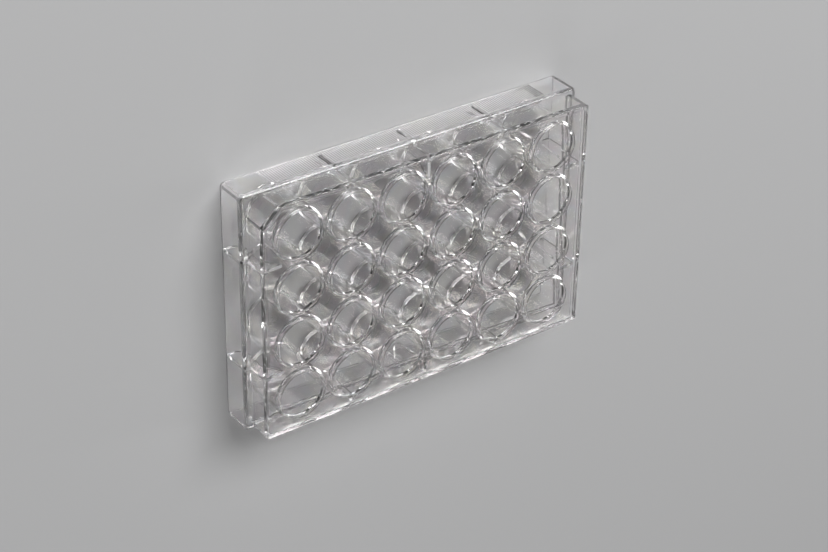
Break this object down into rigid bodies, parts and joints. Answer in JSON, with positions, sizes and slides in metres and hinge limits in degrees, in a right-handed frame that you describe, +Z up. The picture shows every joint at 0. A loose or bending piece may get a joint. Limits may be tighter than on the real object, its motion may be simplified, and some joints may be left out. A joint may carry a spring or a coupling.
{
  "type": "well plate",
  "caption": "Clear moulded cell culture plate: round flat-bottomed wells hang from a recessed deck inside a stepped frame with a cut corner and a grooved skirt.",
  "frame": {"origin": "on the table under the middle of the plate, at the middle of its footprint on the skirt's rim", "axes": "+X along the long side, +Y along the short side towards the row of wells that has the cut corner at its -X end, +Z up out of the wells' mouths"},
  "size_m": [0.1278, 0.0854, 0.0202],
  "materials": {
    "clear_polystyrene": "polished"
  },
  "bodies": {
    "root": {"plate": "clear_polystyrene"}
  },
  "joints": []
}
